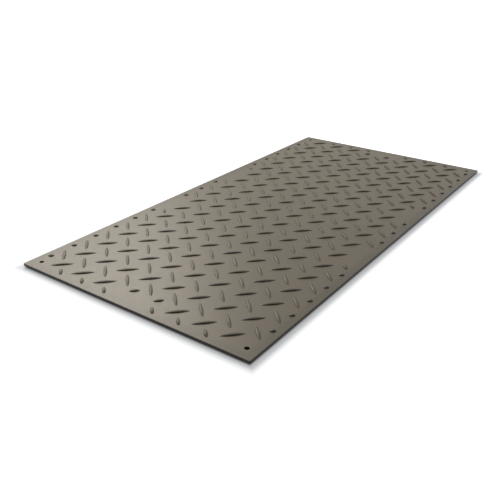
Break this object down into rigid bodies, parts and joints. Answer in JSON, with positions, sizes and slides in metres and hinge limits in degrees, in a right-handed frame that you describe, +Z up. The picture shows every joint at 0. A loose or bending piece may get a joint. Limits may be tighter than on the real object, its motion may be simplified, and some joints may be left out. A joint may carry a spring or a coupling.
{
  "type": "ground protection mat",
  "caption": "Rectangular moulded plastic ground protection mat, a flat sheet with a diamond-plate tread of raised lens-shaped lugs on both faces, blank label areas and corner holes.",
  "frame": {"origin": "on the floor under the middle of the mat", "axes": "+X along the mat's length, +Y across its width, +Z up, out of the upper tread face"},
  "size_m": [2.4384, 1.2192, 0.0254],
  "materials": {
    "polyethylene": "moulded high-density polyethylene, black under a fine warm grey dust, satin"
  },
  "bodies": {
    "root": {"ground_mat": "polyethylene"}
  },
  "joints": []
}
